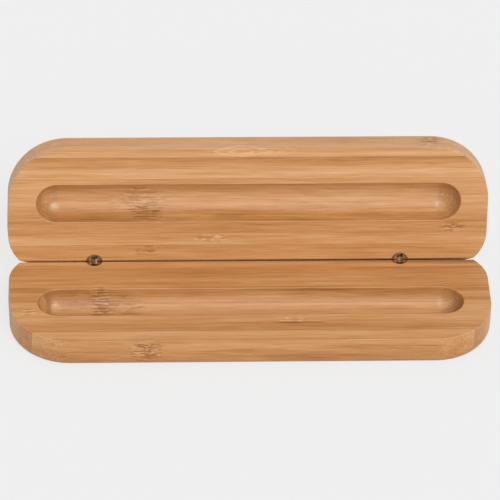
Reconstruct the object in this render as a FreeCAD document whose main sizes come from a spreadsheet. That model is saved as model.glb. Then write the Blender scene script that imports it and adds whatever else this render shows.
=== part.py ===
"""Bamboo pen box: two equal halves with one pen groove each, joined by two small barrel hinges.

Frame: millimetres, X along the length, +Y towards the hinge side, +Z up. The origin is the
centre of the lower half's underside. The lower half lies flat and the lid stands open.
"""
import FreeCAD, Part
import math
import os
import Sketcher

V = FreeCAD.Vector

# Driving sizes: millimetres, angles in degrees
SIZES = [
    ("length", 175.0),
    ("width", 49.7),
    ("half_height", 11.8),
    ("front_corner_radius", 21.4),
    ("back_corner_radius", 15.0),
    ("hinge_line_inset", 4.5),
    ("bevel_border_radius", 0.6),
    ("outer_edge_radius", 3.2),
    ("rim_edge_radius", 0.25),
    ("pen_groove_radius", 7.5),
    ("pen_groove_length", 155.0),
    ("pen_groove_setback", 23.05),
    ("pen_groove_edge_radius", 0.4),
    ("hinge_spacing", 111.9),
    ("barrel_diameter", 5.8),
    ("barrel_length", 7.0),
    ("barrel_foot_chamfer", 0.3),
    ("barrel_overhang", 0.8),
    ("barrel_glue_gap", 0.03),
    ("pin_depth", 0.8),
    ("pin_diameter", 0.7),
    ("pin_end_inset", 0.25),
    ("pin_press_gap", 0.01),
    ("leaf_running_gap", 0.04),
    ("leaf_thickness", 1.0),
    ("leaf_side_gap", 0.08),
    ("leaf_tip_gap", 0.08),
    ("slot_floor_gap", 0.3),
    ("closed_rim_gap", 0.06),
    ("open_angle", 102.0),
    ("stop_angle", 104.0),
]

SIDES = [("left", -1), ("right", 1)]

# How far a cutting profile reaches past what it cuts
CUT_MARGIN = 1.0

# Where the two rims turn on each other, in front of the back edge
HINGE_LINE = "(Sizes.width / 2 - Sizes.hinge_line_inset)"

doc = FreeCAD.newDocument("bamboo_pen_box")
sheet = doc.addObject("Spreadsheet::Sheet", "Sizes")
for row, (alias, value) in enumerate(SIZES, start=1):
    sheet.set("A%d" % row, alias)
    sheet.set("B%d" % row, str(value))
    sheet.setAlias("B%d" % row, alias)
doc.recompute()


def size(alias):
    """The value that the sheet holds for one size."""
    return float(sheet.get(alias))


def new_body(name):
    """An empty body whose label is the name of the piece."""
    body = doc.addObject("PartDesign::Body", name)
    body.Label = name
    return body


def new_sketch(body, name, plane, offset=None):
    """A sketch on one of the body's own origin planes, moved by expressions for x, y and z."""
    sketch = body.newObject("Sketcher::SketchObject", name)
    for feature in body.Origin.OriginFeatures:
        if feature.Role == plane:
            sketch.AttachmentSupport = [(feature, "")]
    sketch.MapMode = "FlatFace"
    for axis, text in (offset or {}).items():
        sketch.setExpression("AttachmentOffset.Base." + axis, text)
    return sketch


def bound(sketch, name, text, *constraint):
    """A named dimension of a sketch whose value follows an expression."""
    sketch.addConstraint(Sketcher.Constraint(*constraint))
    index = sketch.ConstraintCount - 1
    sketch.renameConstraint(index, name)
    sketch.setExpression("Constraints." + name, text)


def tie(sketch, *constraint):
    """A geometric relation of a sketch that has no value."""
    sketch.addConstraint(Sketcher.Constraint(*constraint))


def line(x0, y0, x1, y1):
    return Part.LineSegment(V(x0, y0, 0), V(x1, y1, 0))


def arc(x, y, radius, start, end):
    circle = Part.Circle(V(x, y, 0), V(0, 0, 1), radius)
    return Part.ArcOfCircle(circle, math.radians(start), math.radians(end))


def edges_of(feature, test):
    """Names of the edges of a feature whose points between their ends all pass a test."""
    doc.recompute()
    names = []
    for number, edge in enumerate(feature.Shape.Edges, start=1):
        if edge.Degenerated:
            continue
        if all(test(point) for point in edge.discretize(7)[1:-1]):
            names.append("Edge%d" % number)
    if not names:
        raise RuntimeError("no edge found on " + feature.Label)
    return names


def rounded(body, name, feature, test, radius):
    """A fillet on the edges that pass the test."""
    fillet = body.newObject("PartDesign::Fillet", name)
    fillet.Base = (feature, edges_of(feature, test))
    fillet.setExpression("Radius", radius)
    return fillet


def cut_volume(feature, before):
    """Stops the build where a cut has missed the solid."""
    doc.recompute()
    if feature.Shape.Volume >= before.Shape.Volume - 1e-3:
        raise RuntimeError(feature.Label + " removed nothing")


def through_cut(body, name, profile, before):
    """A cut that runs right through the body, to both sides of its sketch."""
    pocket = body.newObject("PartDesign::Pocket", name)
    pocket.Profile = profile
    pocket.Type = "ThroughAll"
    pocket.Midplane = True
    cut_volume(pocket, before)
    return pocket


# Wooden halves: one glued-up bamboo board each, seen with the rim at the top
def plan_outline(body):
    """Plan of a half: a long board with large round corners."""
    sketch = new_sketch(body, "plan_of_" + body.Name, "XY_Plane")
    half = size("length") / 2
    back = size("width") / 2
    front_r = size("front_corner_radius")
    back_r = size("back_corner_radius")
    sketch.addGeometry([
        line(front_r - half, -back, half - front_r, -back),
        arc(half - front_r, front_r - back, front_r, -90, 0),
        line(half, front_r - back, half, back - back_r),
        arc(half - back_r, back - back_r, back_r, 0, 90),
        line(half - back_r, back, back_r - half, back),
        arc(back_r - half, back - back_r, back_r, 90, 180),
        line(-half, back - back_r, -half, front_r - back),
        arc(front_r - half, front_r - back, front_r, 180, 270),
    ])
    for number in range(8):
        tie(sketch, "Tangent", number, 2, (number + 1) % 8, 1)
    tie(sketch, "Vertical", 2)
    tie(sketch, "Vertical", 6)
    tie(sketch, "Horizontal", 4)
    tie(sketch, "Symmetric", 0, 1, 0, 2, -2)
    tie(sketch, "Equal", 1, 7)
    tie(sketch, "Equal", 3, 5)
    bound(sketch, "box_length", "Sizes.length", "DistanceX", 6, 1, 2, 2, 2 * half)
    bound(sketch, "to_back", "Sizes.width / 2", "DistanceY", -1, 1, 4, 1, back)
    bound(sketch, "box_width", "Sizes.width", "DistanceY", 0, 2, 4, 1, 2 * back)
    bound(sketch, "front_corner", "Sizes.front_corner_radius", "Radius", 1, front_r)
    bound(sketch, "back_corner", "Sizes.back_corner_radius", "Radius", 3, back_r)
    return sketch


def bevel_profile(body):
    """Wedge off the back, from the hinge line down: two of these faces meet when fully open."""
    sketch = new_sketch(body, "bevel_of_" + body.Name, "YZ_Plane")
    hinge = size("width") / 2 - size("hinge_line_inset")
    top = size("half_height")
    reach = size("hinge_line_inset") + CUT_MARGIN
    fall = reach * math.tan(math.radians(size("stop_angle") / 2))
    sketch.addGeometry([
        line(hinge, top, hinge + reach, top - fall),
        line(hinge + reach, top - fall, hinge + reach, top + CUT_MARGIN),
        line(hinge + reach, top + CUT_MARGIN, hinge, top + CUT_MARGIN),
        line(hinge, top + CUT_MARGIN, hinge, top),
    ])
    for number in range(4):
        tie(sketch, "Coincident", number, 2, (number + 1) % 4, 1)
    tie(sketch, "Vertical", 1)
    tie(sketch, "Horizontal", 2)
    tie(sketch, "Vertical", 3)
    bound(sketch, "hinge_line", HINGE_LINE, "DistanceX", -1, 1, 0, 1, hinge)
    bound(sketch, "rim_level", "Sizes.half_height", "DistanceY", -1, 1, 0, 1, top)
    bound(sketch, "bevel_reach", "Sizes.hinge_line_inset + %s" % CUT_MARGIN,
          "DistanceX", 2, 2, 2, 1, reach)
    bound(sketch, "bevel_fall",
          "(Sizes.hinge_line_inset + %s) * tan(Sizes.stop_angle * 1 deg / 2)" % CUT_MARGIN,
          "DistanceY", 0, 2, 0, 1, fall)
    bound(sketch, "above_rim", str(CUT_MARGIN), "DistanceY", 0, 1, 2, 2, CUT_MARGIN)
    return sketch


def groove_profile(body):
    """Half of the ball-ended pen groove, turned about its own length at rim level."""
    offset = {"y": "Sizes.half_height", "z": "Sizes.pen_groove_setback - " + HINGE_LINE}
    sketch = new_sketch(body, "groove_profile_of_" + body.Name, "XZ_Plane", offset)
    tip = size("pen_groove_length") / 2
    radius = size("pen_groove_radius")
    ball = tip - radius
    sketch.addGeometry([
        arc(-ball, 0, radius, 180, 270),
        line(-ball, -radius, ball, -radius),
        arc(ball, 0, radius, 270, 360),
        line(tip, 0, -tip, 0),
    ])
    tie(sketch, "Tangent", 0, 2, 1, 1)
    tie(sketch, "Tangent", 1, 2, 2, 1)
    tie(sketch, "Coincident", 2, 2, 3, 1)
    tie(sketch, "Coincident", 3, 2, 0, 1)
    tie(sketch, "Horizontal", 1)
    tie(sketch, "PointOnObject", 0, 3, -1)
    tie(sketch, "PointOnObject", 2, 3, -1)
    tie(sketch, "PointOnObject", 3, 1, -1)
    tie(sketch, "Symmetric", 3, 1, 3, 2, -1, 1)
    bound(sketch, "groove_radius", "Sizes.pen_groove_radius", "Radius", 0, radius)
    bound(sketch, "groove_length", "Sizes.pen_groove_length", "DistanceX", 3, 2, 3, 1, 2 * tip)
    return sketch


def hinge_hole_plan(body):
    """Two blind holes centred a little behind the hinge line, cut open by the bevel."""
    sketch = new_sketch(body, "hinge_holes_of_" + body.Name, "XY_Plane", {"z": "Sizes.half_height"})
    spread = size("hinge_spacing") / 2
    back = size("width") / 2 - size("hinge_line_inset") + size("barrel_overhang")
    radius = size("barrel_diameter") / 2 + size("barrel_glue_gap")
    for number, (side, sign) in enumerate(SIDES):
        sketch.addGeometry(Part.Circle(V(sign * spread, back, 0), V(0, 0, 1), radius))
        bound(sketch, side + "_hole_radius", "Sizes.barrel_diameter / 2 + Sizes.barrel_glue_gap",
              "Radius", number, radius)
    tie(sketch, "Symmetric", 0, 3, 1, 3, -2)
    bound(sketch, "holes_back", HINGE_LINE + " + Sizes.barrel_overhang",
          "DistanceY", -1, 1, 0, 3, back)
    bound(sketch, "hole_spacing", "Sizes.hinge_spacing", "DistanceX", 0, 3, 1, 3, 2 * spread)
    return sketch


def wooden_half(name):
    """One half of the box, with its outer face down and its rim up."""
    body = new_body(name)
    top = size("half_height")
    hinge = size("width") / 2 - size("hinge_line_inset")
    slope = math.tan(math.radians(size("stop_angle") / 2))
    board = body.newObject("PartDesign::Pad", "board_of_" + name)
    board.Profile = plan_outline(body)
    board.setExpression("Length", "Sizes.half_height")
    outer = rounded(body, "outer_edge_of_" + name, board,
                    lambda point: abs(point.z) < 1e-4, "Sizes.outer_edge_radius")
    bevel = through_cut(body, "bevel_cut_of_" + name, bevel_profile(body), outer)

    def on_bevel_border(point):
        on_bevel = abs(point.z - top + (point.y - hinge) * slope) < 1e-4
        return on_bevel and point.y > hinge + 1e-3

    softened = rounded(body, "bevel_border_of_" + name, bevel,
                       on_bevel_border, "Sizes.bevel_border_radius")
    rim = rounded(body, "rim_edge_of_" + name, softened,
                  lambda point: abs(point.z - top) < 1e-4, "Sizes.rim_edge_radius")

    groove = body.newObject("PartDesign::Groove", "pen_groove_of_" + name)
    groove.Profile = groove_profile(body)
    groove.ReferenceAxis = (groove.Profile[0], ["H_Axis"])
    groove.Angle = 360
    cut_volume(groove, rim)

    centre = hinge - size("pen_groove_setback")
    reach = size("pen_groove_radius") + 1e-3

    def on_groove_edge(point):
        return abs(point.z - top) < 1e-4 and abs(point.y - centre) < reach

    groove_edge = rounded(body, "groove_edge_of_" + name, groove,
                          on_groove_edge, "Sizes.pen_groove_edge_radius")

    holes = body.newObject("PartDesign::Pocket", "hinge_sockets_of_" + name)
    holes.Profile = hinge_hole_plan(body)
    holes.setExpression("Length", "Sizes.barrel_length + Sizes.barrel_glue_gap")
    cut_volume(holes, groove_edge)
    body.Tip = holes
    return body


# Barrel hinges, each seen with its nose up at height 0, its pin line at Y = 0 and its rear at +Y
def barrel_blank(body):
    """Round of a barrel, whose middle stands a little behind the pin line."""
    sketch = new_sketch(body, "round_of_" + body.Name, "XY_Plane")
    radius = size("barrel_diameter") / 2
    overhang = size("barrel_overhang")
    sketch.addGeometry(Part.Circle(V(0, overhang, 0), V(0, 0, 1), radius))
    tie(sketch, "PointOnObject", 0, 3, -2)
    bound(sketch, "round_diameter", "Sizes.barrel_diameter", "Diameter", 0, 2 * radius)
    bound(sketch, "overhang", "Sizes.barrel_overhang", "DistanceY", -1, 1, 0, 3, overhang)
    return sketch


def slot_plan(body):
    """Slot for the leaves: from the nose down past their lower ends, open front and rear."""
    sketch = new_sketch(body, "slot_of_" + body.Name, "XZ_Plane")
    half = 1.0
    floor = -2.0
    sketch.addGeometry([
        line(-half, CUT_MARGIN, -half, floor),
        line(-half, floor, half, floor),
        line(half, floor, half, CUT_MARGIN),
        line(half, CUT_MARGIN, -half, CUT_MARGIN),
    ])
    for number in range(4):
        tie(sketch, "Coincident", number, 2, (number + 1) % 4, 1)
    tie(sketch, "Vertical", 0)
    tie(sketch, "Vertical", 2)
    tie(sketch, "Horizontal", 3)
    tie(sketch, "Symmetric", 1, 1, 1, 2, -2)
    bound(sketch, "slot_width", "2 * Sizes.leaf_thickness + 3 * Sizes.leaf_side_gap",
          "DistanceX", 1, 1, 1, 2, 2 * half)
    bound(sketch, "slot_floor",
          "2 * Sizes.pin_depth - Sizes.leaf_tip_gap + Sizes.slot_floor_gap",
          "DistanceY", 1, 1, -1, 1, -floor)
    bound(sketch, "above_nose", str(CUT_MARGIN), "DistanceY", -1, 1, 3, 1, CUT_MARGIN)
    return sketch


def nose_relief(body):
    """Rear of the nose: round about the pin, then the flat that meets its twin at full opening."""
    sketch = new_sketch(body, "nose_relief_of_" + body.Name, "YZ_Plane")
    depth = size("pin_depth")
    stop = size("stop_angle") / 2
    sine = math.sin(math.radians(stop))
    cosine = math.cos(math.radians(stop))
    reach = size("barrel_diameter") / 2 + size("barrel_overhang") + CUT_MARGIN
    touch_y = depth * sine
    touch_z = depth * cosine - depth
    fall = (reach - touch_y) * sine / cosine
    sketch.addGeometry([
        arc(0, -depth, depth, 90 - stop, 90),
        line(touch_y, touch_z, reach, touch_z - fall),
        line(reach, touch_z - fall, reach, CUT_MARGIN),
        line(reach, CUT_MARGIN, 0, CUT_MARGIN),
        line(0, CUT_MARGIN, 0, 0),
    ])
    tie(sketch, "Tangent", 0, 1, 1, 1)
    tie(sketch, "Coincident", 1, 2, 2, 1)
    tie(sketch, "Coincident", 2, 2, 3, 1)
    tie(sketch, "Coincident", 3, 2, 4, 1)
    tie(sketch, "Coincident", 4, 2, 0, 2)
    tie(sketch, "Vertical", 2)
    tie(sketch, "Horizontal", 3)
    tie(sketch, "Vertical", 4)
    tie(sketch, "PointOnObject", 0, 3, -2)
    tie(sketch, "Coincident", 0, 2, -1, 1)
    bound(sketch, "nose_radius", "Sizes.pin_depth", "Radius", 0, depth)
    bound(sketch, "flat_start", "Sizes.pin_depth * sin(Sizes.stop_angle * 1 deg / 2)",
          "DistanceX", -1, 1, 0, 1, touch_y)
    bound(sketch, "rear_reach",
          "Sizes.barrel_diameter / 2 + Sizes.barrel_overhang + %s" % CUT_MARGIN,
          "DistanceX", -1, 1, 1, 2, reach)
    bound(sketch, "relief_top", str(CUT_MARGIN), "DistanceY", -1, 1, 3, 2, CUT_MARGIN)
    return sketch


def cross_hole(body):
    """Hole for the pin, along X through both cheeks of a barrel."""
    sketch = new_sketch(body, "pin_hole_of_" + body.Name, "YZ_Plane")
    radius = size("pin_diameter") / 2 + size("pin_press_gap")
    sketch.addGeometry(Part.Circle(V(0, -size("pin_depth"), 0), V(0, 0, 1), radius))
    tie(sketch, "PointOnObject", 0, 3, -2)
    bound(sketch, "hole_depth", "Sizes.pin_depth", "DistanceY", 0, 3, -1, 1, size("pin_depth"))
    bound(sketch, "hole_radius", "Sizes.pin_diameter / 2 + Sizes.pin_press_gap",
          "Radius", 0, radius)
    return sketch


def hinge_barrel(name):
    """A round barrel, slotted from its nose, with a foot chamfer to enter the wood."""
    body = new_body(name)
    blank = body.newObject("PartDesign::Pad", "blank_of_" + name)
    blank.Profile = barrel_blank(body)
    blank.setExpression("Length", "Sizes.barrel_length")
    blank.Reversed = True
    foot = body.newObject("PartDesign::Chamfer", "foot_of_" + name)
    foot_z = -size("barrel_length")
    foot.Base = (blank, edges_of(blank, lambda point: abs(point.z - foot_z) < 1e-4))
    foot.setExpression("Size", "Sizes.barrel_foot_chamfer")
    cut_volume(foot, blank)
    slot = through_cut(body, "slot_cut_of_" + name, slot_plan(body), foot)
    relief = through_cut(body, "nose_cut_of_" + name, nose_relief(body), slot)
    body.Tip = through_cut(body, "pin_cut_of_" + name, cross_hole(body), relief)
    return body


def hinge_leaf(name):
    """A flat link with round ends and two pin holes: base pin at its origin, lid pin above."""
    body = new_body(name)
    sketch = new_sketch(body, "outline_of_" + name, "YZ_Plane")
    radius = size("pin_depth") - size("leaf_tip_gap")
    hole = size("pin_diameter") / 2 + size("leaf_running_gap")
    pitch = 2 * size("pin_depth") + size("closed_rim_gap")
    sketch.addGeometry([
        arc(0, 0, radius, 180, 360),
        line(radius, 0, radius, pitch),
        arc(0, pitch, radius, 0, 180),
        line(-radius, pitch, -radius, 0),
        Part.Circle(V(0, 0, 0), V(0, 0, 1), hole),
        Part.Circle(V(0, pitch, 0), V(0, 0, 1), hole),
    ])
    tie(sketch, "Tangent", 0, 2, 1, 1)
    tie(sketch, "Tangent", 1, 2, 2, 1)
    tie(sketch, "Tangent", 2, 2, 3, 1)
    tie(sketch, "Tangent", 3, 2, 0, 1)
    tie(sketch, "Vertical", 1)
    tie(sketch, "Coincident", 0, 3, -1, 1)
    tie(sketch, "Coincident", 4, 3, 0, 3)
    tie(sketch, "Coincident", 5, 3, 2, 3)
    tie(sketch, "Equal", 0, 2)
    tie(sketch, "Equal", 4, 5)
    bound(sketch, "end_radius", "Sizes.pin_depth - Sizes.leaf_tip_gap", "Radius", 0, radius)
    bound(sketch, "pin_pitch", "2 * Sizes.pin_depth + Sizes.closed_rim_gap",
          "DistanceY", 0, 3, 2, 3, pitch)
    bound(sketch, "hole_size", "Sizes.pin_diameter / 2 + Sizes.leaf_running_gap",
          "Radius", 4, hole)
    plate = body.newObject("PartDesign::Pad", "plate_of_" + name)
    plate.Profile = sketch
    plate.setExpression("Length", "Sizes.leaf_thickness")
    plate.Midplane = True
    body.Tip = plate
    return body


def hinge_pin(name):
    """A plain pin a little shorter than the barrel is wide."""
    pin = doc.addObject("Part::Cylinder", name)
    pin.Label = name
    pin.setExpression("Radius", "Sizes.pin_diameter / 2")
    pin.setExpression("Height", "Sizes.barrel_diameter - 2 * Sizes.pin_end_inset")
    return pin


# Places, written as expressions of the same sizes
HALF_OPEN = "(Sizes.open_angle * 1 deg / 2)"
BASE_PIN_Z = "(Sizes.half_height - Sizes.pin_depth)"
PITCH = "(2 * Sizes.pin_depth + Sizes.closed_rim_gap)"
LID_PIN_Y = "(%s + %s * sin(%s))" % (HINGE_LINE, PITCH, HALF_OPEN)
LID_PIN_Z = "(%s + %s * cos(%s))" % (BASE_PIN_Z, PITCH, HALF_OPEN)
SINE_OPEN = "sin(Sizes.open_angle * 1 deg)"
COSINE_OPEN = "cos(Sizes.open_angle * 1 deg)"


def place(piece, x, y, z, axis=("0", "0", "1"), angle="0 deg"):
    """Puts a piece by expressions, turned about an axis through its own origin."""
    text = "placement(vector(%s; %s; %s); rotation(vector(%s; %s; %s); %s))"
    piece.setExpression("Placement", text % ((x, y, z) + axis + (angle,)))


def place_with_lid(piece, x, y_from_pin, z_from_pin):
    """Puts a piece of the lid, upside down when shut, given its place from the lid pins."""
    y = "%s + (%s) * %s + (%s) * %s" % (LID_PIN_Y, y_from_pin, COSINE_OPEN, z_from_pin, SINE_OPEN)
    z = "%s - (%s) * %s + (%s) * %s" % (LID_PIN_Z, y_from_pin, SINE_OPEN, z_from_pin, COSINE_OPEN)
    axis = ("0", "cos(%s)" % HALF_OPEN, "-sin(%s)" % HALF_OPEN)
    place(piece, x, y, z, axis, "180 deg")


pieces = []

base_shell = wooden_half("base_shell")
lid_shell = wooden_half("lid_shell")
place_with_lid(lid_shell, "0", "-" + HINGE_LINE, "Sizes.half_height - Sizes.pin_depth")
pieces += [base_shell, lid_shell]

for side, sign in SIDES:
    hinge_x = "%d * Sizes.hinge_spacing / 2" % sign
    pin_x = "%s - Sizes.barrel_diameter / 2 + Sizes.pin_end_inset" % hinge_x

    base_barrel = hinge_barrel(side + "_hinge_base_barrel")
    place(base_barrel, hinge_x, HINGE_LINE, "Sizes.half_height")
    lid_barrel = hinge_barrel(side + "_hinge_lid_barrel")
    place_with_lid(lid_barrel, hinge_x, "0", "-Sizes.pin_depth")

    base_pin = hinge_pin(side + "_hinge_base_pin")
    place(base_pin, pin_x, HINGE_LINE, BASE_PIN_Z, ("0", "1", "0"), "90 deg")
    lid_pin = hinge_pin(side + "_hinge_lid_pin")
    place(lid_pin, pin_x, LID_PIN_Y, LID_PIN_Z, ("0", "1", "0"), "90 deg")
    pieces += [base_barrel, lid_barrel, base_pin, lid_pin]

    for leaf_name, leaf_sign in (("outer", sign), ("inner", -sign)):
        leaf = hinge_leaf("%s_hinge_%s_leaf" % (side, leaf_name))
        leaf_x = "%s + %d * (Sizes.leaf_thickness + Sizes.leaf_side_gap) / 2" % (hinge_x, leaf_sign)
        place(leaf, leaf_x, HINGE_LINE, BASE_PIN_Z, ("-1", "0", "0"), HALF_OPEN)
        pieces.append(leaf)

doc.recompute()

for thing in doc.Objects:
    if "Invalid" in thing.State or "Error" in thing.State:
        raise RuntimeError("failed feature: " + thing.Label)
for piece in pieces:
    if piece.Shape.isNull() or not piece.Shape.isValid() or len(piece.Shape.Solids) != 1:
        raise RuntimeError("bad shape: " + piece.Label)

os.makedirs("parts", exist_ok=True)
for piece in pieces:
    piece.Shape.exportStep("parts/%s.step" % piece.Label)
    box = piece.Shape.BoundBox
    print("%-26s %9.2f mm3  x %8.2f %8.2f  y %7.2f %7.2f  z %7.2f %7.2f" % (
        piece.Label, piece.Shape.Volume, box.XMin, box.XMax, box.YMin, box.YMax,
        box.ZMin, box.ZMax))
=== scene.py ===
"""Dresses the bamboo pen box: solid bamboo strips, dull nickel hinges, a pale floor and soft light."""

import math

import bpy
from mathutils import Matrix, Vector

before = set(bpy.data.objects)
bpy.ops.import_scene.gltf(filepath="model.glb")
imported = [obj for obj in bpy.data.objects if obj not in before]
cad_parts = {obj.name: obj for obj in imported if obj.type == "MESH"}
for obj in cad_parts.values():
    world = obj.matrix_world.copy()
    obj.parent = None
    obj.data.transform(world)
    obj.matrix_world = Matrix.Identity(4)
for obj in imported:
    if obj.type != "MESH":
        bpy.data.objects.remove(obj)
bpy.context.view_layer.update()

MM = 0.001

# Sizes of the box that the strips and the camera are set by, in millimetres
WIDTH = 49.7
HINGE_LINE_INSET = 4.5
HALF_HEIGHT = 11.8
PIN_DEPTH = 0.8
PIN_PITCH = 1.66
OPEN_ANGLE = math.radians(102.0)
HINGE_LINE = WIDTH / 2 - HINGE_LINE_INSET
HINGE_SPACING = 111.9
BARREL_OVERHANG = 0.8
BARREL_RADIUS = 2.9
GROOVE_SETBACK = 23.05
GROOVE_RADIUS = 7.5
GROOVE_TIP = 77.5
BEVEL_SLOPE = math.tan(math.radians(52.0))


# Shader helpers
class Nodes:
    """Builds one material's node tree; every method gives back an output socket."""

    def __init__(self, name):
        self.material = bpy.data.materials.new(name)
        self.material.use_nodes = True
        self.tree = self.material.node_tree
        self.tree.nodes.clear()

    def new(self, kind, **settings):
        node = self.tree.nodes.new(kind)
        for key, value in settings.items():
            setattr(node, key, value)
        return node

    def put(self, value, socket):
        if isinstance(value, bpy.types.NodeSocket):
            self.tree.links.new(value, socket)
        elif value is not None:
            socket.default_value = value

    def math(self, operation, a, b=None, c=None, clamp=False):
        node = self.new("ShaderNodeMath", operation=operation, use_clamp=clamp)
        for value, socket in zip((a, b, c), node.inputs):
            self.put(value, socket)
        return node.outputs[0]

    def add(self, a, b):
        return self.math("ADD", a, b)

    def sub(self, a, b):
        return self.math("SUBTRACT", a, b)

    def mul(self, a, b):
        return self.math("MULTIPLY", a, b)

    def vector(self, operation, a, b=None, scale=None):
        node = self.new("ShaderNodeVectorMath", operation=operation)
        self.put(a, node.inputs[0])
        if b is not None:
            self.put(b, node.inputs[1])
        if scale is not None:
            self.put(scale, node.inputs["Scale"])
        return node.outputs["Value"] if operation in ("DOT_PRODUCT", "LENGTH") else node.outputs[0]

    def combine(self, x, y, z):
        node = self.new("ShaderNodeCombineXYZ")
        for value, socket in zip((x, y, z), node.inputs):
            self.put(value, socket)
        return node.outputs[0]

    def split(self, value):
        node = self.new("ShaderNodeSeparateXYZ")
        self.put(value, node.inputs[0])
        return node.outputs[0], node.outputs[1], node.outputs[2]

    def noise(self, position, scale=1.0, detail=2.0, roughness=0.5, distortion=0.0, colour=False):
        node = self.new("ShaderNodeTexNoise", noise_dimensions="3D")
        self.put(position, node.inputs["Vector"])
        self.put(scale, node.inputs["Scale"])
        self.put(detail, node.inputs["Detail"])
        self.put(roughness, node.inputs["Roughness"])
        self.put(distortion, node.inputs["Distortion"])
        return node.outputs["Color"] if colour else node.outputs[0]

    def cells(self, position, scale=1.0, randomness=1.0):
        node = self.new("ShaderNodeTexVoronoi", feature="F1", voronoi_dimensions="3D")
        self.put(position, node.inputs["Vector"])
        self.put(scale, node.inputs["Scale"])
        self.put(randomness, node.inputs["Randomness"])
        return node.outputs["Distance"]

    def band(self, value, low, high, out_low=0.0, out_high=1.0, smooth=True):
        node = self.new("ShaderNodeMapRange", clamp=True,
                        interpolation_type="SMOOTHSTEP" if smooth else "LINEAR")
        self.put(value, node.inputs["Value"])
        self.put(low, node.inputs["From Min"])
        self.put(high, node.inputs["From Max"])
        self.put(out_low, node.inputs["To Min"])
        self.put(out_high, node.inputs["To Max"])
        return node.outputs[0]

    def mix(self, amount, a, b, kind="RGBA", blend="MIX"):
        node = self.new("ShaderNodeMix", data_type=kind, clamp_factor=True)
        if kind == "RGBA":
            node.blend_type = blend
        self.put(amount, node.inputs[0])
        names = [s for s in node.inputs if s.type == {"RGBA": "RGBA", "FLOAT": "VALUE"}[kind]]
        names = [s for s in names if s.name in ("A", "B")]
        self.put(a, names[0])
        self.put(b, names[1])
        return next(s for s in node.outputs if s.type == names[0].type)

    def steps(self, factor, stops):
        """A stepped colour ramp: each stop holds from its place to the next one."""
        return self.ramp(factor, stops, "CONSTANT")

    def ramp(self, factor, stops, interpolation="LINEAR"):
        node = self.new("ShaderNodeValToRGB")
        ramp = node.color_ramp
        ramp.interpolation = interpolation
        while len(ramp.elements) > 1:
            ramp.elements.remove(ramp.elements[-1])
        ramp.elements[0].position = stops[0][0]
        ramp.elements[0].color = stops[0][1]
        for place, value in stops[1:]:
            ramp.elements.new(place).color = value
        self.put(factor, node.inputs[0])
        return node.outputs[0]

    def bump(self, height, strength, distance, normal=None):
        node = self.new("ShaderNodeBump")
        self.put(height, node.inputs["Height"])
        self.put(strength, node.inputs["Strength"])
        self.put(distance, node.inputs["Distance"])
        if normal is not None:
            self.put(normal, node.inputs["Normal"])
        return node.outputs[0]

    def surface(self, colour, roughness, normal=None, gloss=None, **constants):
        shader = self.new("ShaderNodeBsdfPrincipled")
        self.put(gloss, shader.inputs["Specular IOR Level"])
        self.put(colour, shader.inputs["Base Color"])
        self.put(roughness, shader.inputs["Roughness"])
        if normal is not None:
            self.put(normal, shader.inputs["Normal"])
        for key, value in constants.items():
            shader.inputs[key.replace("_", " ")].default_value = value
        output = self.new("ShaderNodeOutputMaterial")
        self.tree.links.new(shader.outputs[0], output.inputs[0])
        return self.material


def grey(value):
    return (value, value, value, 1.0)


# Bamboo
# Each strip: how far it reaches from the hinge line in mm, tone from 0 dark to 1 pale, how much
# its tone rises from its hinge side to its front side, and how much it falls for each mm of depth,
# which is painted shade towards the floor and is used on the base's front face only
BASE_STRIPS = [
    (3.5, 0.63, -0.04, 0.0),
    (8.2, 0.42, 0.04, 0.0),
    (14.6, 0.50, 0.02, 0.0),
    (17.6, 0.38, 0.02, 0.0),
    (22.6, 0.49, -0.16, 0.0),
    (28.4, 0.60, 0.06, 0.0),
    (34.8, 0.65, -0.08, 0.0),
    (39.7, 0.40, -0.04, 0.0),
    (46.0, 0.62, -0.10, 0.028),
]
LID_STRIPS = [
    (6.0, 0.59, -0.09, 0.0),
    (10.9, 0.65, -0.14, 0.0),
    (14.9, 0.48, -0.02, 0.0),
    (21.9, 0.51, 0.165, 0.0),
    (27.6, 0.66, -0.06, 0.0),
    (32.8, 0.62, -0.04, 0.0),
    (36.9, 0.75, 0.02, 0.0),
    (41.6, 0.47, -0.20, 0.0),
    (46.0, 0.68, -0.06, 0.0),
]

# Each knuckle: centre x, d and e in mm, half sizes in mm, strip span in d,
# then how dark, pale, tangled and looped it is
BASE_KNUCKLES = [
    ((-54.0, 18.0, 5.0), (4.0, 8.0, 9.0), (14.6, 30.0), 1.00, 1.00, 0.2, 0.0),
    ((-47.0, 20.0, 5.0), (9.0, 5.5, 6.5), (14.6, 30.0), 0.55, 0.15, 0.4, 0.0),
    ((-63.0, 16.0, 4.0), (8.0, 3.6, 5.0), (14.6, 22.6), 0.50, 0.00, 0.2, 0.0),
    ((-38.5, 45.0, 5.0), (6.5, 4.5, 5.5), (39.7, 46.0), 0.85, 0.60, 1.1, 0.1),
    ((14.0, 33.5, 0.0), (6.0, 1.6, 4.0), (28.4, 34.8), 0.15, 1.00, 0.2, 0.3),
    ((-80.5, 28.5, 0.0), (3.0, 2.2, 5.0), (25.0, 31.5), 0.35, 0.60, 0.7, 0.3),
]
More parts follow.
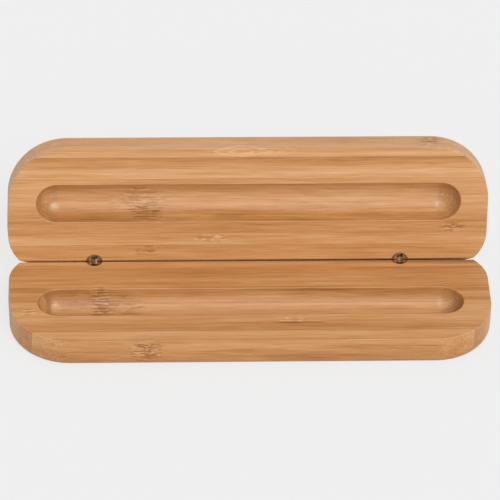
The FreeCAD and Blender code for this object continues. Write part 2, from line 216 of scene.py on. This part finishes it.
# Thin dark lines: centre x, half length, d, half width in mm and darkness
BASE_LINES = [(17.0, 12.0, 35.2, 0.55, 0.75), (13.5, 5.0, 35.4, 0.8, 0.6)]
LID_LINES = [(-36.0, 5.5, 16.9, 0.8, 0.40), (-35.5, 4.5, 19.4, 0.6, 0.32), (-39.0, 6.0, 21.9, 0.5, 0.25)]
LID_KNUCKLES = [
    ((-38.2, 17.0, 5.5), (7.0, 3.2, 6.0), (12.0, 24.5), 1.00, 0.15, 0.4, 0.0),
    ((-40.5, 21.5, 6.0), (11.0, 6.0, 7.0), (12.0, 29.5), 0.35, 0.30, 0.6, 0.0),
    ((3.0, 43.9, 0.6), (12.0, 2.0, 3.0), (41.6, 46.0), 0.00, 0.25, 0.2, 0.0),
    ((66.0, 45.2, 4.8), (5.0, 4.0, 4.2), (41.6, 46.0), 1.00, 0.45, 0.9, 0.8),
    ((-13.0, 8.9, 0.0), (6.0, 2.3, 5.0), (6.0, 10.9), 0.35, 0.60, 0.7, 0.35),
    ((-37.0, 4.2, 0.0), (5.0, 2.6, 5.0), (0.0, 6.0), 0.60, 0.15, 0.6, 0.0),
    ((75.0, 12.9, 0.0), (4.8, 2.8, 5.0), (10.9, 14.9), 0.75, 0.35, 0.8, 0.3),
]

# Pale ovals where the cut skims a curved fibre: centre x, d and e, then half sizes, in mm
LID_OVALS = [((-3.2, 43.9, 0.3), (11.0, 2.1, 2.6)), ((9.5, 44.0, 0.6), (8.5, 1.9, 2.4))]

# Colours from the darkest to the palest fibre
BAMBOO_TONES = [
    (0.00, (0.335, 0.128, 0.028, 1.0)),
    (0.35, (0.506, 0.228, 0.073, 1.0)),
    (0.60, (0.606, 0.302, 0.117, 1.0)),
    (1.00, (0.756, 0.438, 0.223, 1.0)),
]
KNUCKLE_BROWN = (0.262, 0.106, 0.022, 1.0)
GLUE_BROWN = (0.300, 0.112, 0.022, 1.0)
HOLE_BROWN = (0.135, 0.058, 0.016, 1.0)
HIGHLIGHT_PALE = (0.86, 0.60, 0.37, 1.0)
END_BROWN = (0.330, 0.158, 0.056, 1.0)
GROOVE_TAN = (0.560, 0.345, 0.150, 1.0)
RAW_PALE_SEAM_LIGHT = (0.900, 0.600, 0.310, 1.0)
RAW_WOOD = (0.780, 0.440, 0.180, 1.0)
PAINTED_SHADE_BROWN = (0.200, 0.090, 0.030, 1.0)


def bamboo(name, place, strips, knuckles, seed, flame, back_edge_shade, corner_light_rise, lines, ovals=(),
           one_side=False, stepped_ends=False):
    """Glued-up strips as a solid pattern: x along the box, d from the hinge line, e into the wood."""
    n = Nodes(name)
    place_mm = n.vector("SCALE", n.new("ShaderNodeTexCoord").outputs["Object"], scale=1.0 / MM)
    x = n.split(place_mm)[0]
    (d_axis, d_offset), (e_axis, e_offset) = place
    d = n.add(n.vector("DOT_PRODUCT", place_mm, d_axis), d_offset)
    e = n.add(n.vector("DOT_PRODUCT", place_mm, e_axis), e_offset)

    # Strip tone and slope, with a random start for each strip's fibres
    span = strips[-1][0] + HINGE_LINE_INSET
    looks = []
    borders = []
    start = 0.0
    for number, (end, tone, slope, depth_shade) in enumerate(strips):
        finish = (end + HINGE_LINE_INSET) / span
        looks.append((start, (tone, 0.5 + slope, (number * 0.37 + seed) % 1.0, 1.0)))
        borders.append((start, (start, finish, depth_shade, 1.0)))
        start = finish
    share = n.math("DIVIDE", n.add(d, HINGE_LINE_INSET), span)
    if one_side:
        # The sides show the outermost strip alone
        side = n.mul(n.band(e, 0.5, 0.8), n.band(e, 9.0, 8.6))
        side = n.mul(side, n.band(d, 31.0, 31.3, 0.0, (strips[-2][0] + HINGE_LINE_INSET + 0.4) / span))
        share = n.math("MAXIMUM", share, side)
    tone, slope, lot = n.split(n.steps(share, looks))
    first, last, depth_shade = n.split(n.steps(share, borders))
    across = n.math("DIVIDE", n.sub(share, first), n.sub(last, first))
    seeded = n.add(x, n.mul(lot, 260.0))

    # Slow sway of the fibres, and their fine and broad streaks
    sway = n.noise(n.combine(n.mul(seeded, 0.020), n.mul(d, 0.09), n.mul(e, 0.09)), 1.0, 2.0, 0.5)
    sway = n.mul(n.sub(sway, 0.5), 1.3)

    # Knuckles: where fibres tangle, darken and pale, with a ragged border
    ragged = n.noise(n.combine(n.mul(x, 0.20), n.mul(d, 1.1), n.mul(e, 1.1)), 1.0, 3.0, 0.6, 0.5)
    border = n.mul(n.sub(ragged, 0.5), 1.7)
    dark = pale = tangle = loops = None
    for centre, half, (low, high), *amounts in knuckles:
        offset = n.combine(n.math("DIVIDE", n.sub(x, centre[0]), half[0]),
                           n.math("DIVIDE", n.sub(d, centre[1]), half[1]),
                           n.math("DIVIDE", n.sub(e, centre[2]), half[2]))
        reach = n.add(n.vector("LENGTH", offset), border)
        near = n.band(reach, 1.15, 0.45)
        near = n.mul(near, n.band(d, low - 0.12, low + 0.12))
        near = n.mul(near, n.band(d, high + 0.12, high - 0.12))
        parts = [n.mul(near, amount) for amount in amounts]
        parts[3] = n.mul(parts[3], n.band(n.math("SINE", n.mul(reach, 21.0)), 0.0, 0.9))
        if dark is None:
            dark, pale, tangle, loops = parts
        else:
            dark, pale, tangle, loops = (n.math("MAXIMUM", old, new) for old, new
                                         in zip((dark, pale, tangle, loops), parts))

    swirl = n.noise(n.combine(n.mul(x, 0.17), n.mul(d, 0.36), n.mul(e, 0.36)), 1.0, 2.0, 0.5, 0.4)
    bend = n.add(sway, n.mul(n.mul(n.sub(swirl, 0.5), 3.4), tangle))
    d_bent = n.add(d, bend)
    e_bent = n.add(e, n.mul(bend, 0.7))

    broad = n.noise(n.combine(n.mul(seeded, 0.022), n.mul(d_bent, 0.52), n.mul(e_bent, 0.36)),
                    1.0, 2.0, 0.5)
    fine = n.noise(n.combine(n.mul(seeded, 0.042), n.mul(d_bent, 1.9), n.mul(e_bent, 1.2)),
                   1.0, 3.0, 0.62)
    hair = n.noise(n.combine(n.mul(seeded, 0.10), n.mul(d_bent, 5.6), n.mul(e_bent, 3.6)),
                   1.0, 2.0, 0.6)
    hairline = n.noise(n.combine(n.mul(seeded, 0.018), n.mul(d_bent, 2.9), n.mul(e_bent, 2.4)),
                       1.0, 1.0, 0.5)
    dashes = n.noise(n.combine(n.mul(x, 0.30), n.mul(d_bent, 1.0), n.mul(e_bent, 1.0)),
                     1.0, 3.0, 0.6, 0.3)
    stack = n.math("SINE", n.add(n.mul(d_bent, 3.6), n.mul(e_bent, 4.5)))
    dashes = n.add(dashes, n.mul(stack, 0.13))

    # Tone: strip, its own slope, then streaks and knuckles
    level = n.add(tone, n.mul(n.sub(slope, 0.5), n.mul(n.sub(across, 0.5), 2.0)))
    # Painted shade: the front face darkens with depth towards the floor
    level = n.sub(level, n.mul(depth_shade, e))
    level = n.add(level, n.mul(n.sub(broad, 0.5), 0.70))
    level = n.add(level, n.mul(n.sub(fine, 0.5), 0.50))
    level = n.add(level, n.mul(n.sub(hair, 0.5), 0.80))
    level = n.sub(level, n.band(hairline, 0.57, 0.66, 0.0, 0.13))
    level = n.add(level, n.mul(pale, n.band(dashes, 0.49, 0.38, -0.12, 0.55)))
    level = n.add(level, n.mul(loops, 0.38))
    for centre, half in ovals:
        along = n.math("ABSOLUTE", n.math("DIVIDE", n.sub(x, centre[0]), half[0]))
        over = n.math("DIVIDE", n.sub(d, centre[1]), half[1])
        into = n.math("DIVIDE", n.sub(e, centre[2]), half[2])
        aside = n.vector("LENGTH", n.combine(0.0, over, into))
        round_reach = n.vector("LENGTH", n.combine(along, over, into))
        reach = n.add(n.mul(n.add(along, aside), 0.5), n.mul(round_reach, 0.5))
        reach = n.add(reach, n.mul(border, 0.22))
        rings = n.mul(n.band(n.math("SINE", n.sub(n.mul(reach, 13.0), 4.4)), -0.2, 0.9, 0.25, 1.0),
                      n.band(reach, 1.10, 0.98))
        level = n.add(level, n.mul(rings, n.band(x, -4.0, 8.0, 0.32, 0.12)))

    groove_side = n.band(n.math("ABSOLUTE", n.sub(d, GROOVE_SETBACK)),
                         GROOVE_RADIUS + 1.2, GROOVE_RADIUS + 0.4)
    groove_end = n.band(n.math("ABSOLUTE", x), GROOVE_TIP + 1.5, GROOVE_TIP + 0.5)
    over_groove = n.mul(groove_side, groove_end)

    # The corner between rim and side: painted light makes the side paler below it and painted shade makes
    # the rim a little darker above it, softening the step in shading
    painted_light_below = n.mul(n.band(e, 6.0, 0.8, 0.0, corner_light_rise), n.band(e, 0.05, 0.5))
    level = n.add(level, n.mul(painted_light_below, n.sub(1.0, over_groove)))
    level = n.sub(level, n.mul(n.band(d, 42.8, 45.2, 0.0, 0.12), n.band(e, 0.5, 0.05)))

    # The groove cuts the fibres at a slant, so its streaks are short flames
    in_groove = n.mul(n.band(e, 0.2, 2.0), n.band(e, GROOVE_RADIUS + 1.5, GROOVE_RADIUS + 0.8))
    in_groove = n.mul(in_groove, over_groove)
    flames = n.noise(n.combine(n.mul(x, 0.085), n.mul(d_bent, 0.80), n.mul(e_bent, 0.80)),
                     1.0, 3.0, 0.55, 0.8)
    level = n.add(level, n.mul(n.mul(in_groove, n.sub(flames, 0.5)), flame))

    # The wood is darker towards one end of the groove
    level = n.sub(level, n.mul(in_groove, n.band(x, -36.0, -56.0, 0.0, 0.09)))
    colour = n.ramp(level, BAMBOO_TONES)
    colour = n.mix(n.mul(in_groove, 0.12), colour, GROOVE_TAN)

    # Cut fibre ends on the round corners and the ball ends: browner, speckled, with tool marks
    geometry = n.new("ShaderNodeNewGeometry")
    end_cut = n.band(n.math("ABSOLUTE", n.split(geometry.outputs["Normal"])[0]), 0.20, 0.75)
    specks = n.noise(n.combine(n.mul(x, 0.9), n.mul(d, 2.6), n.mul(e, 2.6)), 1.0, 2.0, 0.6)
    speckled = n.mul(end_cut, n.band(specks, 0.38, 0.62, -0.05, 0.27))
    ball_x = n.sub(n.math("ABSOLUTE", x), GROOVE_TIP - GROOVE_RADIUS)
    ball = n.combine(ball_x, n.sub(d, GROOVE_SETBACK), 0.0)
    marks = n.math("SINE", n.add(n.mul(n.vector("LENGTH", ball), 6.5), n.mul(specks, 6.0)))
    in_ball = n.mul(in_groove, n.band(ball_x, -1.2, 0.8))
    if stepped_ends:
        # One end has a dark crescent inside a pale one, the other is dark at its very end
        inner = n.mul(n.band(ball_x, 1.7, 3.0, 0.12, 0.72), n.band(ball_x, 4.6, 3.9, 0.12, 1.0))
        outer = n.band(ball_x, 3.4, 4.9, 0.24, 0.68)
        scored = n.mix(n.band(x, -1.0, 1.0), inner, outer, kind="FLOAT")
        scored = n.add(scored, n.band(marks, -0.8, 0.8, -0.06, 0.06))
    else:
        scored = n.add(n.band(marks, -0.8, 0.8, 0.14, 0.32), n.band(ball_x, 3.4, 6.8, 0.0, 0.26))
    scored = n.mul(in_ball, n.add(scored, n.band(specks, 0.40, 0.62, -0.08, 0.16)))
    colour = n.mix(n.math("MAXIMUM", speckled, scored), colour, END_BROWN)

    # Burnished spot where the round cutter stopped: lower roughness, and its colour paled as a painted
    # highlight
    spot = n.combine(n.add(ball_x, -0.6), n.sub(d, GROOVE_SETBACK - 4.4), n.sub(e, 6.0))
    burnish_and_highlight = n.band(n.vector("LENGTH", spot), 2.6, 0.9)
    colour = n.mix(n.mul(burnish_and_highlight, 0.22), colour, HIGHLIGHT_PALE)

    # Painted highlight: rounded edges of the rim and the groove are painted paler
    edge_highlight = n.mul(n.band(e, 0.02, 0.08), n.band(e, 0.42, 0.20))
    colour = n.mix(n.mul(edge_highlight, 0.10), colour, HIGHLIGHT_PALE)

    seam = n.math("MINIMUM", n.sub(share, first), n.sub(last, share))
    seam = n.band(n.mul(seam, span), 0.20, 0.03)
    colour = n.mix(n.mul(seam, n.band(broad, 0.40, 0.60, 0.05, 0.32)), colour, GLUE_BROWN)

    tangled = n.band(dashes, 0.49, 0.62)
    colour = n.mix(n.math("MULTIPLY", dark, n.mul(tangled, 0.86), clamp=True), colour, KNUCKLE_BROWN)
    colour = n.mix(n.mul(dark, 0.20), colour, KNUCKLE_BROWN)
    for middle, reach, place_d, width, darkness in lines:
        along = n.math("DIVIDE", n.math("ABSOLUTE", n.sub(x, middle)), reach)
        aside = n.math("DIVIDE", n.math("ABSOLUTE", n.sub(d_bent, place_d)), width)
        line = n.band(n.add(n.math("MAXIMUM", along, aside), n.mul(border, 0.35)), 1.0, 0.45)
        colour = n.mix(n.mul(line, darkness), colour, KNUCKLE_BROWN)

    # Dark rim of the wood about each hinge barrel
    hinge = n.combine(n.sub(n.math("ABSOLUTE", x), HINGE_SPACING / 2), n.add(d, BARREL_OVERHANG), 0.0)
    round_barrel = n.vector("LENGTH", hinge)
    ring = n.mul(n.band(round_barrel, BARREL_RADIUS + 0.38, BARREL_RADIUS + 0.10), n.band(e, 2.0, 1.0))
    colour = n.mix(n.mul(ring, 0.80), colour, HOLE_BROWN)

    # Raw wood on the bevel behind the hinge line, painted paler at the left end and darker at the right as
    # painted light and shade in the seam, and painted shade along the back edge of the rim
    off_bevel = n.math("ABSOLUTE", n.add(e, n.mul(d, BEVEL_SLOPE)))
    raw = n.mul(n.band(off_bevel, 0.30, 0.10), n.band(d, -0.02, -0.20))
    # Painted light and shade in the seam: the raw tone runs from pale at the left end to darker at the
    # right
    raw_tone_and_seam_light = n.mix(n.band(x, -30.0, 50.0), RAW_PALE_SEAM_LIGHT, RAW_WOOD)
    raw_share_and_seam_light = n.mul(raw, n.band(n.sub(d, n.mul(level, 1.6)), -4.6, -2.0, 0.10, 0.70))
    colour = n.mix(raw_share_and_seam_light, colour, raw_tone_and_seam_light)
    # Painted shade along the back edge of the rim, wider and darker towards the right end
    edge_reach = n.band(x, 50.0, 70.0, 1.9, 3.4)
    painted_edge_shade = n.mul(n.band(d, edge_reach, 0.1), n.band(x, -30.0, 74.0, 0.0, back_edge_shade))
    colour = n.mix(painted_edge_shade, colour, PAINTED_SHADE_BROWN)

    height = n.add(n.mul(fine, 0.5), n.mul(hair, 0.5))
    height = n.add(height, n.mul(n.mul(dashes, tangle), -2.2))
    height = n.add(height, n.mul(seam, -0.3))
    normal = n.bump(height, 0.45, 0.00008)
    rough = n.band(n.add(n.mul(fine, 0.5), n.mul(broad, 0.5)), 0.25, 0.75, 0.33, 0.48)
    rough = n.mix(n.mul(burnish_and_highlight, 0.8), rough, 0.20, kind="FLOAT")
    gloss = n.mix(raw, 0.40, 0.04, kind="FLOAT")
    return n.surface(colour, rough, normal, gloss)


sine = math.sin(OPEN_ANGLE)
cosine = math.cos(OPEN_ANGLE)
lid_pin_y = HINGE_LINE + PIN_PITCH * math.sin(OPEN_ANGLE / 2)
lid_pin_z = HALF_HEIGHT - PIN_DEPTH + PIN_PITCH * math.cos(OPEN_ANGLE / 2)
base_place = (((0.0, -1.0, 0.0), HINGE_LINE), ((0.0, 0.0, -1.0), HALF_HEIGHT))
lid_place = (((0.0, -cosine, sine), lid_pin_y * cosine - lid_pin_z * sine),
             ((0.0, sine, cosine), PIN_DEPTH - lid_pin_y * sine - lid_pin_z * cosine))
bamboo_base = bamboo("bamboo_base", base_place, BASE_STRIPS, BASE_KNUCKLES, 0.11, 0.35, 0.70, 0.04,
                     BASE_LINES, stepped_ends=True)
bamboo_lid = bamboo("bamboo_lid", lid_place, LID_STRIPS, LID_KNUCKLES, 0.53, 0.60, 0.0, 0.13,
                    LID_LINES, LID_OVALS, one_side=True)


def metal(name, pale, tarnish, roughness, turned, shine, metallic, rim_place=None):
    """Dull antique nickel: fine marks, tarnish in patches, painted highlight lines, painted light in the
    slot, painted highlights on the flanks and a dark rim.
    """
    n = Nodes(name)
    place_mm = n.vector("SCALE", n.new("ShaderNodeTexCoord").outputs["Object"], scale=1.0 / MM)
    patches = n.noise(place_mm, 0.9, 4.0, 0.6, 0.4)
    grain = n.noise(n.vector("MULTIPLY", place_mm, turned), 1.0, 3.0, 0.6)
    pits = n.band(n.noise(place_mm, 5.5, 2.0, 0.5), 0.60, 0.74)
    colour = n.mix(n.band(patches, 0.36, 0.66), pale, tarnish)

    # Painted highlight lines across the hinge: place from its middle in mm, then how bright
    x = n.split(place_mm)[0]
    side = n.math("SIGN", x)
    across = n.sub(x, n.mul(side, HINGE_SPACING / 2))
    across = n.add(across, n.mul(side, shine["lean"]))
    painted_highlight_lines = n.ramp(n.band(across, -2.0, 2.0, smooth=False),
                  [((place + 2.0) / 4.0, grey(amount)) for place, amount in shine["lines"]])
    colour = n.mix(painted_highlight_lines, colour, shine["colour"])
    # Painted light inside the barrel's shaded slot
    slot_painted_light = n.band(n.math("ABSOLUTE", n.sub(x, n.mul(side, HINGE_SPACING / 2))), 1.16, 1.06)
    colour = n.mix(n.mul(slot_painted_light, shine["slot"]), colour, (0.85, 0.56, 0.33, 1.0))

    # Painted highlight on faces turned along the hinge axis
    geometry = n.new("ShaderNodeNewGeometry")
    flank_highlight = n.band(n.math("ABSOLUTE", n.split(geometry.outputs["Normal"])[0]), 0.5, 0.8)
    colour = n.mix(n.mul(flank_highlight, shine["flank_highlight"]), colour, (0.70, 0.45, 0.26, 1.0))
    colour = n.mix(n.mul(pits, 0.55), colour, (0.08, 0.038, 0.012, 1.0))
    colour = n.mix(n.mul(n.band(grain, 0.35, 0.75), 0.20), colour, (0.20, 0.115, 0.055, 1.0))
    if rim_place:
        (d_axis, d_offset), _ = rim_place
        d = n.add(n.vector("DOT_PRODUCT", place_mm, d_axis), d_offset)
        radial = n.combine(n.sub(n.math("ABSOLUTE", x), HINGE_SPACING / 2), n.add(d, BARREL_OVERHANG), 0.0)
        rim = n.band(n.vector("LENGTH", radial), BARREL_RADIUS - 0.55, BARREL_RADIUS - 0.15)
        colour = n.mix(n.mul(rim, 0.85), colour, (0.235, 0.105, 0.034, 1.0))
    rough = n.band(n.add(patches, n.mul(grain, 0.4)), 0.5, 0.9, roughness - 0.08, roughness + 0.14)
    height = n.sub(n.mul(grain, 0.5), pits)
    normal = n.bump(height, 0.4, 0.00003)
    return n.surface(colour, rough, normal, Metallic=metallic)


BARREL_SHINE = {"lean": 0.0, "slot": 0.95, "flank_highlight": 0.0, "colour": (0.54, 0.33, 0.185, 1.0),
                "lines": [(-1.95, 0.0), (-1.60, 0.75), (-1.10, 0.85), (-0.9, 0.0), (0.9, 0.0),
                          (1.15, 0.35), (1.6, 0.0)]}
LEAF_SHINE = {"lean": 0.45, "slot": 0.0, "flank_highlight": 0.9, "colour": (0.235, 0.140, 0.078, 1.0),
              "lines": [(-0.75, 0.0), (-0.40, 0.15), (-0.05, 0.10), (0.15, 0.95), (0.50, 0.95),
                        (0.75, 0.15), (1.5, 0.0)]}
PIN_SHINE = {"lean": 0.0, "slot": 0.0, "flank_highlight": 0.0, "colour": (0.40, 0.26, 0.16, 1.0), "lines": [(-2.0, 0.0), (2.0, 0.0)]}
BARREL_TONES = ((0.40, 0.205, 0.090, 1.0), (0.27, 0.128, 0.050, 1.0), 0.42, (1.5, 1.5, 9.0))
base_barrel_metal = metal("base_barrel_nickel", *BARREL_TONES, BARREL_SHINE, 0.80, base_place)
lid_barrel_metal = metal("lid_barrel_nickel", *BARREL_TONES, BARREL_SHINE, 0.80, lid_place)
leaf_metal = metal("leaf_steel", (0.092, 0.044, 0.017, 1.0), (0.064, 0.029, 0.010, 1.0), 0.50,
                   (2.0, 7.0, 2.0), LEAF_SHINE, 0.95)
pin_metal = metal("pin_steel", (0.34, 0.215, 0.125, 1.0), (0.20, 0.115, 0.060, 1.0), 0.36,
                  (1.0, 8.0, 8.0), PIN_SHINE, 0.90)

for node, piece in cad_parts.items():
    if node == "base_shell":
        material = bamboo_base
    elif node == "lid_shell":
        material = bamboo_lid
    elif node.endswith("_base_barrel"):
        material = base_barrel_metal
    elif node.endswith("_lid_barrel"):
        material = lid_barrel_metal
    elif node.endswith("_leaf"):
        material = leaf_metal
    else:
        material = pin_metal
    piece.data.materials.clear()
    piece.data.materials.append(material)

# Floor, backdrop and light
BACKDROP = 0.863
FLOOR_SHEET = 0.873
SHEET_SHARE = 0.86


def floor_material():
    """Seen by the camera as the plain backdrop, with the box's own shadow kept close to it."""
    n = Nodes("pale_floor")
    texture = n.noise(n.vector("SCALE", n.new("ShaderNodeTexCoord").outputs["Object"], scale=40.0),
                      1.0, 3.0, 0.5)
    colour = n.mix(texture, grey(0.845), grey(0.865))
    lit = n.new("ShaderNodeBsdfDiffuse")
    n.put(colour, lit.inputs["Color"])
    plain_sheet = n.new("ShaderNodeEmission")
    n.put(grey(FLOOR_SHEET), plain_sheet.inputs["Color"])
    share = n.mul(n.new("ShaderNodeLightPath").outputs["Is Camera Ray"], SHEET_SHARE)
    blend = n.new("ShaderNodeMixShader")
    n.put(share, blend.inputs[0])
    n.tree.links.new(lit.outputs[0], blend.inputs[1])
    n.tree.links.new(plain_sheet.outputs[0], blend.inputs[2])
    output = n.new("ShaderNodeOutputMaterial")
    n.tree.links.new(blend.outputs[0], output.inputs[0])
    return n.material


floor_mesh = bpy.data.meshes.new("floor")
REACH = 6.0
floor_mesh.from_pydata([(-REACH, -REACH, 0), (REACH, -REACH, 0), (REACH, REACH, 0), (-REACH, REACH, 0)],
                       [], [(0, 1, 2, 3)])
floor = bpy.data.objects.new("floor", floor_mesh)
floor_mesh.materials.append(floor_material())
bpy.context.collection.objects.link(floor)

world = bpy.data.worlds.new("studio")
bpy.context.scene.world = world
world.use_nodes = True
tree = world.node_tree
tree.nodes.clear()
path = tree.nodes.new("ShaderNodeLightPath")
light_sky = tree.nodes.new("ShaderNodeBackground")
light_sky.inputs[0].default_value = (1.0, 1.0, 1.0, 1.0)
light_sky.inputs[1].default_value = 0.60
seen_sky = tree.nodes.new("ShaderNodeBackground")
seen_sky.inputs[0].default_value = grey(BACKDROP)
seen_sky.inputs[1].default_value = 1.0
seen = tree.nodes.new("ShaderNodeMath")
seen.operation = "MAXIMUM"
tree.links.new(path.outputs["Is Camera Ray"], seen.inputs[0])
tree.links.new(path.outputs["Is Glossy Ray"], seen.inputs[1])
choose = tree.nodes.new("ShaderNodeMixShader")
tree.links.new(seen.outputs[0], choose.inputs[0])
tree.links.new(light_sky.outputs[0], choose.inputs[1])
tree.links.new(seen_sky.outputs[0], choose.inputs[2])
world_output = tree.nodes.new("ShaderNodeOutputWorld")
tree.links.new(choose.outputs[0], world_output.inputs[0])


def sun(name, towards, strength, softness):
    """A soft sun; towards points from the object to the light."""
    lamp = bpy.data.lights.new(name, "SUN")
    lamp.energy = strength
    lamp.angle = math.radians(softness)
    body = bpy.data.objects.new(name, lamp)
    body.rotation_euler = Vector(towards).to_track_quat("Z", "Y").to_euler()
    bpy.context.collection.objects.link(body)


sun("key", (0.25, -0.66, 0.71), 1.65, 34.0)

# Camera: azimuth, elevation and roll in degrees, distance in mm, focal length in frame pixels
AZIMUTH = math.radians(-5.486)
ELEVATION = math.radians(39.032)
ROLL = math.radians(3.084)
DISTANCE = 2500.0
FOCAL = 6841.4
FRAME_PIXELS = 500.0
TARGET_PIXEL = (247.24, 261.05)
SENSOR = 36.0


def photo_camera():
    """Looks at the middle of the hinge line, which falls on TARGET_PIXEL."""
    back = Vector((math.sin(AZIMUTH) * math.cos(ELEVATION),
                   -math.cos(AZIMUTH) * math.cos(ELEVATION), math.sin(ELEVATION)))
    level = Vector((math.cos(AZIMUTH), math.sin(AZIMUTH), 0.0))
    upright = back.cross(level)
    right = level * math.cos(ROLL) + upright * math.sin(ROLL)
    up = upright * math.cos(ROLL) - level * math.sin(ROLL)
    aside = (FRAME_PIXELS / 2 - TARGET_PIXEL[0]) / FOCAL
    above = (TARGET_PIXEL[1] - FRAME_PIXELS / 2) / FOCAL
    forward = (right * aside + up * above - back).normalized()
    right = forward.cross(up).normalized()
    up = right.cross(forward)
    data = bpy.data.cameras.new("photo_camera")
    data.sensor_width = SENSOR
    data.lens = FOCAL * SENSOR / FRAME_PIXELS
    data.clip_end = 50.0
    camera = bpy.data.objects.new("photo_camera", data)
    place = (Vector((0.0, HINGE_LINE, HALF_HEIGHT)) + back * DISTANCE) * MM
    turn = Matrix((right, up, -forward)).transposed().to_4x4()
    camera.matrix_world = Matrix.Translation(place) @ turn
    bpy.context.collection.objects.link(camera)
    bpy.context.scene.camera = camera


photo_camera()
bpy.context.scene.view_settings.view_transform = "Standard"
